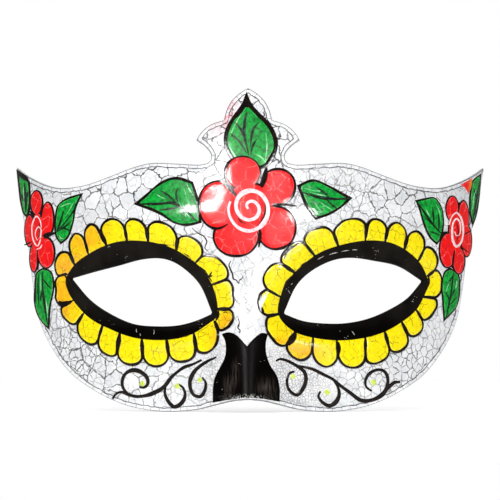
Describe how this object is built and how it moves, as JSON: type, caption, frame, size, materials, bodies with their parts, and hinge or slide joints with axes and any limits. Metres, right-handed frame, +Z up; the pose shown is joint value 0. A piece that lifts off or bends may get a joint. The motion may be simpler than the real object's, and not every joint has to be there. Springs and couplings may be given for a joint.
{
  "type": "venetian masquerade mask",
  "caption": "Half-face eye mask with swept temples and a finial, crackle finish, painted flowers, scalloped eye rings and scrolls; tied on with ribbons at pads inside the temples.",
  "frame": {"origin": "on the lining at the bridge of the nose, level with the inner corners of the eye holes, where the mask rests on the wearer's face", "axes": "+X to the right as seen from the front, +Y backwards towards the wearer, +Z up"},
  "size_m": [0.193, 0.1013, 0.1305],
  "materials": {
    "crackle_white": "glossy white with fine grey crackle",
    "felt": "matt felt",
    "ribbon_pad": "matt woven tape",
    "black_paint": "satin black paint with a few pale flecks",
    "yellow_paint": "glossy yellow paint, orange in places, with black outlines",
    "red_paint": "glossy red paint with black outlines and pale swirls",
    "green_paint": "glossy green paint with black veins and outlines"
  },
  "bodies": {
    "root": {"mask_shell": "crackle_white", "felt_lining": "felt", "ribbon_patch_left": "ribbon_pad", "ribbon_patch_right": "ribbon_pad", "centre_rose": "red_paint", "rose_left": "red_paint", "rose_right": "red_paint", "leaf_top": "green_paint", "leaf_centre_left": "green_paint", "leaf_centre_right": "green_paint", "leaf_left_tip": "green_paint", "leaf_left_inner": "green_paint", "leaf_left_lower": "green_paint", "leaf_right_tip": "green_paint", "leaf_right_inner": "green_paint", "leaf_right_lower": "green_paint", "tip_bud_right": "red_paint", "nose_patch": "black_paint", "scroll_left_outer": "black_paint", "scroll_left_inner": "black_paint", "scroll_right": "black_paint", "petal_ring_left": "yellow_paint", "petal_ring_right": "yellow_paint", "eye_surround_left": "black_paint", "eye_surround_right": "black_paint"}
  },
  "joints": []
}
